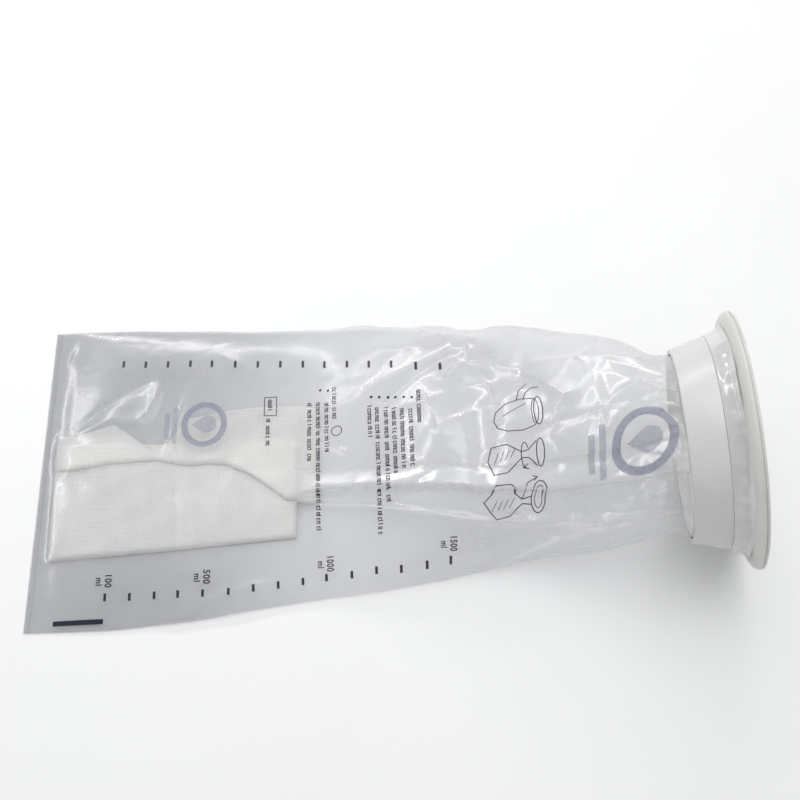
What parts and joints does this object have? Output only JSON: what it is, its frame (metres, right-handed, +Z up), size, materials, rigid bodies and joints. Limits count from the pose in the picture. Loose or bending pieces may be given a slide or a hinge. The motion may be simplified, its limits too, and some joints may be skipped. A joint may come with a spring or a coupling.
{
  "type": "emesis bag with mouth collar",
  "caption": "Disposable fluid collection bag: a graduated clear film bag gathered onto a rigid round mouth collar, with a loose absorbent pad inside.",
  "frame": {"origin": "centre of the object's bounding box in X and Y, on the table that the bag lies on", "axes": "+X along the bag from its sealed bottom edge to its mouth, +Y across the bag, +Z up from the table"},
  "size_m": [0.3488, 0.1626, 0.1158],
  "materials": {
    "clear_film": "clear, slightly milky polyethylene film, glossy",
    "collar_plastic": "satin moulded polyethylene, ivory white",
    "clamp_plastic": "satin moulded polyethylene, white",
    "pad_tissue": "matt embossed tissue",
    "pad_fluff": "matt absorbent fluff"
  },
  "bodies": {
    "bag": {"film_front_panel": "clear_film", "film_back_panel": "clear_film", "bottom_seal": "clear_film", "film_shoulder": "clear_film"},
    "neck": {"film_neck": "clear_film"},
    "collar": {"mouth_collar": "collar_plastic", "clamp_ring": "clamp_plastic", "film_cuff": "clear_film"},
    "pad": {"pad_cover_sheet": "pad_tissue", "pad_core": "pad_fluff", "pad_backing_sheet": "pad_tissue"}
  },
  "joints": [
    {"name": "collar_lift", "type": "hinge", "parent": "bag", "child": "neck", "pos_m": [0.06556, 0, 0.001], "axis": [0, -1, 0], "range_deg": [0, 78.6], "deforming": ["film_shoulder"]},
    {"name": "collar_twist", "type": "hinge", "parent": "neck", "child": "collar", "pos_m": [0.13496, -0.018, 0.05232], "axis": [0.9803, 0, 0.1977], "range_deg": [-90, 90]},
    {"name": "pad_slide", "type": "slide", "parent": "bag", "child": "pad", "axis": [1, 0, 0], "range_m": [0, 0.06]}
  ]
}
